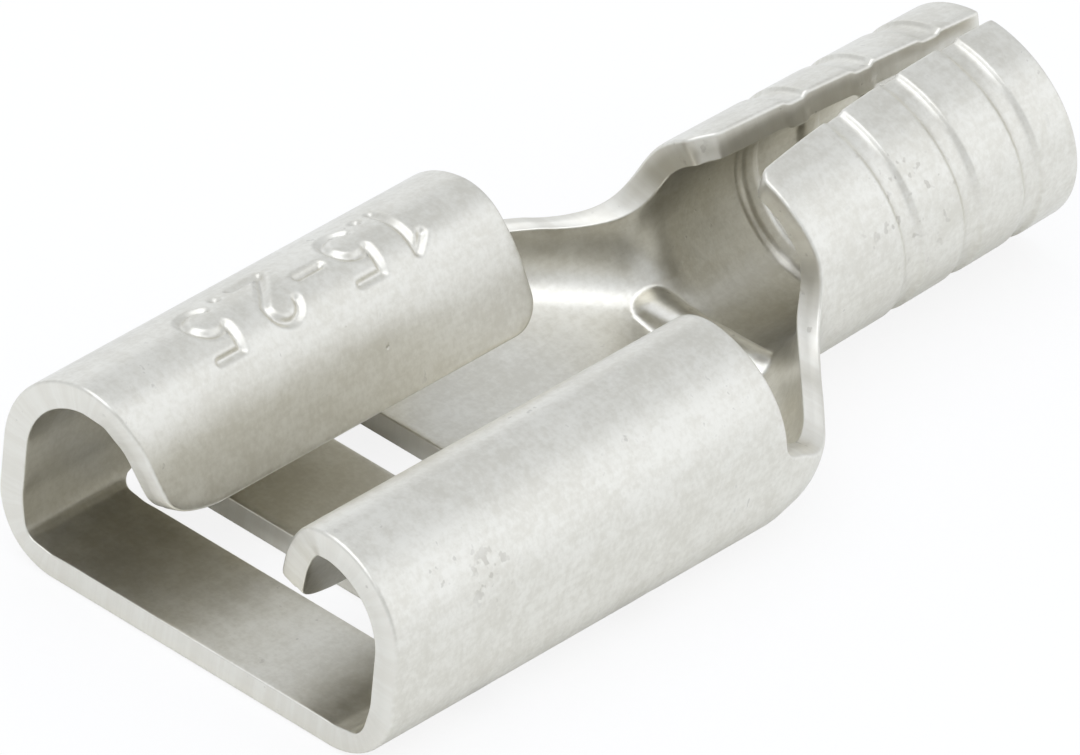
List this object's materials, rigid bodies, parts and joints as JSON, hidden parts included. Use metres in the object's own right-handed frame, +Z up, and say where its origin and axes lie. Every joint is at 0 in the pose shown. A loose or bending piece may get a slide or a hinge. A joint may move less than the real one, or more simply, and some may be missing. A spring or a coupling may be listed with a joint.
{
  "type": "female spade terminal",
  "caption": "Uninsulated female spade terminal of tin-plated brass, with rolled wings over a slotted floor, a tab stop and a ringed open crimp barrel.",
  "frame": {"origin": "middle of the terminal's footprint, level with the floor's underside", "axes": "+Y along the terminal from the tab's mouth towards the wire, +Z up from the floor to the wings, +X to the right when looking along +Y"},
  "size_m": [0.0074, 0.0166, 0.0036],
  "materials": {
    "tin_plated_brass": "satin"
  },
  "bodies": {
    "root": {"terminal": "tin_plated_brass"}
  },
  "joints": []
}
